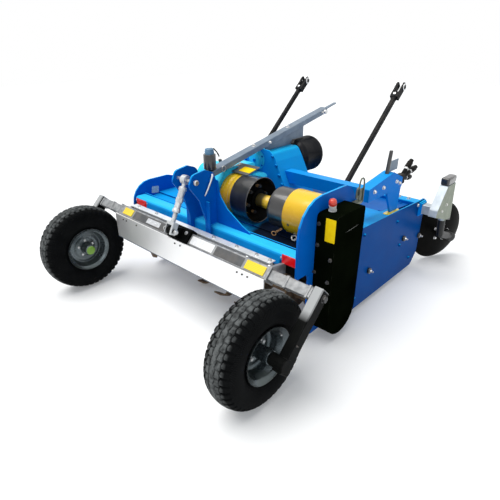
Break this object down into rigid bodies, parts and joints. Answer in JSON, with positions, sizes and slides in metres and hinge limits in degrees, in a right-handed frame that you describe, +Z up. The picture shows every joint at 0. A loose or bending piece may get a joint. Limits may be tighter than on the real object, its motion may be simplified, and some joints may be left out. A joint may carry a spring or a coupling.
{
  "type": "seedbed cultivator",
  "caption": "Mounted bed-forming cultivator with hoe rotor, chain drive, levelling board, pneumatic rear wheels and front hilling discs.",
  "frame": {"origin": "on the ground, at the middle of the machine's footprint", "axes": "+Z up, +Y forward towards the tractor, +X to the machine's right"},
  "size_m": [1.6046, 2.1064, 1.061],
  "materials": {
    "blue_enamel": "gloss",
    "black_enamel": "satin",
    "black_plastic": "satin",
    "yellow_plastic": "gloss",
    "red_plastic": "gloss",
    "galvanised_steel": "galvanised",
    "stainless_sheet": "polished",
    "bright_steel": "machined",
    "worn_steel": "worn and earthy",
    "silver_rim": "silver paint",
    "tyre_rubber": "rubber"
  },
  "bodies": {
    "frame": {"chain_case": "black_enamel", "document_tube": "black_plastic", "drive_chain": "worn_steel", "filler_plug": "red_plastic", "frame_tube": "blue_enamel", "front_deck": "blue_enamel", "front_panel_left": "blue_enamel", "front_panel_right": "blue_enamel", "front_tube": "blue_enamel", "gearbox_cap": "blue_enamel", "hose_couplings": "black_enamel", "left_guard": "yellow_plastic", "left_guard_cone": "black_plastic", "main_gearbox": "blue_enamel", "pivot_bracket_left": "black_enamel", "pivot_bracket_right": "black_enamel", "pto_guard": "black_plastic", "rear_deflector": "blue_enamel", "right_guard": "yellow_plastic", "right_guard_bell": "black_plastic", "rotor_hood": "blue_enamel", "shaft_guard_tube": "yellow_plastic", "side_plate_left": "blue_enamel", "side_plate_right": "blue_enamel", "stay_eye": "galvanised_steel", "support_rail": "blue_enamel", "top_link_channel": "galvanised_steel", "top_link_pin": "bright_steel", "tower_pin": "bright_steel", "tower_plate_left": "blue_enamel", "tower_plate_right": "blue_enamel", "transfer_case": "blue_enamel"},
    "rotor": {"hoe_rotor": "worn_steel", "driven_sprocket": "bright_steel"},
    "cross_drive": {"cross_shaft": "bright_steel", "torque_limiter": "black_enamel", "drive_sprocket": "bright_steel"},
    "input": {"input_shaft": "bright_steel"},
    "beam": {"rear_beam": "galvanised_steel", "beam_strip": "galvanised_steel", "levelling_board": "stainless_sheet", "beam_clamp": "black_enamel"},
    "stay_sleeve": {"stay_tube": "galvanised_steel"},
    "fork": {"stay_fork": "galvanised_steel"},
    "carriage_left": {"carrier_left": "galvanised_steel", "wheel_arm_left": "black_enamel"},
    "carriage_right": {"carrier_right": "galvanised_steel", "wheel_arm_right": "black_enamel"},
    "wheel_left": {"wheel_rim_left": "silver_rim", "tyre_left": "tyre_rubber"},
    "wheel_right": {"wheel_rim_right": "silver_rim", "tyre_right": "tyre_rubber"},
    "disc_holder_left": {"front_carrier_left": "galvanised_steel", "post_cap_left": "black_plastic"},
    "disc_holder_right": {"front_carrier_right": "galvanised_steel", "post_cap_right": "black_plastic"},
    "disc_wheel_left": {"disc_left": "black_enamel"},
    "disc_wheel_right": {"disc_right": "black_enamel"},
    "arm_left": {"hitch_arm_left": "black_enamel"},
    "arm_right": {"hitch_arm_right": "black_enamel"}
  },
  "joints": [
    {"name": "rotor_turn", "type": "hinge", "parent": "frame", "child": "rotor", "pos_m": [0, -0.32834, 0.212], "axis": [1, 0, 0], "continuous": true},
    {"name": "cross_turn", "type": "hinge", "parent": "frame", "child": "cross_drive", "pos_m": [0, -0.27334, 0.57239], "axis": [1, 0, 0], "continuous": true},
    {"name": "input_turn", "type": "hinge", "parent": "frame", "child": "input", "pos_m": [0, 0.38166, 0.665], "axis": [0, 1, 0], "continuous": true},
    {"name": "beam_tilt", "type": "hinge", "parent": "frame", "child": "beam", "pos_m": [0, -0.47334, 0.402], "axis": [-1, 0, 0], "range_deg": [0, 10]},
    {"name": "stay_turn", "type": "hinge", "parent": "frame", "child": "stay_sleeve", "pos_m": [0, -0.58134, 0.705], "axis": [0, -0.4406, -0.8977], "range_deg": [0, 1816]},
    {"name": "fork_slide", "type": "slide", "parent": "frame", "child": "fork", "axis": [0, -0.4406, -0.8977], "range_m": [-0.04044, 0]},
    {"name": "track_left", "type": "slide", "parent": "beam", "child": "carriage_left", "axis": [-1, 0, 0], "range_m": [-0.04, 0.12]},
    {"name": "wheel_spin_left", "type": "hinge", "parent": "carriage_left", "child": "wheel_left", "pos_m": [-0.662, -0.81834, 0.235], "axis": [1, 0, 0], "continuous": true},
    {"name": "disc_slide_left", "type": "slide", "parent": "frame", "child": "disc_holder_left", "axis": [-1, 0, 0], "range_m": [-0.04, 0.1]},
    {"name": "disc_spin_left", "type": "hinge", "parent": "disc_holder_left", "child": "disc_wheel_left", "pos_m": [-0.7, 0.86666, 0.19], "axis": [-0.9063, -0.4226, 0], "continuous": true},
    {"name": "arm_lift_left", "type": "hinge", "parent": "frame", "child": "arm_left", "pos_m": [-0.345, 0.16666, 0.478], "axis": [1, 0, 0], "range_deg": [-38, 15]},
    {"name": "track_right", "type": "slide", "parent": "beam", "child": "carriage_right", "axis": [1, 0, 0], "range_m": [-0.04, 0.12]},
    {"name": "wheel_spin_right", "type": "hinge", "parent": "carriage_right", "child": "wheel_right", "pos_m": [0.662, -0.81834, 0.235], "axis": [1, 0, 0], "continuous": true},
    {"name": "disc_slide_right", "type": "slide", "parent": "frame", "child": "disc_holder_right", "axis": [1, 0, 0], "range_m": [-0.04, 0.1]},
    {"name": "disc_spin_right", "type": "hinge", "parent": "disc_holder_right", "child": "disc_wheel_right", "pos_m": [0.7, 0.86666, 0.19], "axis": [0.9063, -0.4226, 0], "continuous": true},
    {"name": "arm_lift_right", "type": "hinge", "parent": "frame", "child": "arm_right", "pos_m": [0.345, 0.16666, 0.478], "axis": [1, 0, 0], "range_deg": [-38, 15]}
  ],
  "couplings": [
    {"joint": "cross_turn", "follows": "rotor_turn", "ratio": 0.6},
    {"joint": "input_turn", "follows": "rotor_turn", "ratio": -0.6},
    {"joint": "fork_slide", "follows": "beam_tilt", "m_per_rad": -0.23089},
    {"joint": "stay_turn", "follows": "beam_tilt", "ratio": 181.34}
  ]
}
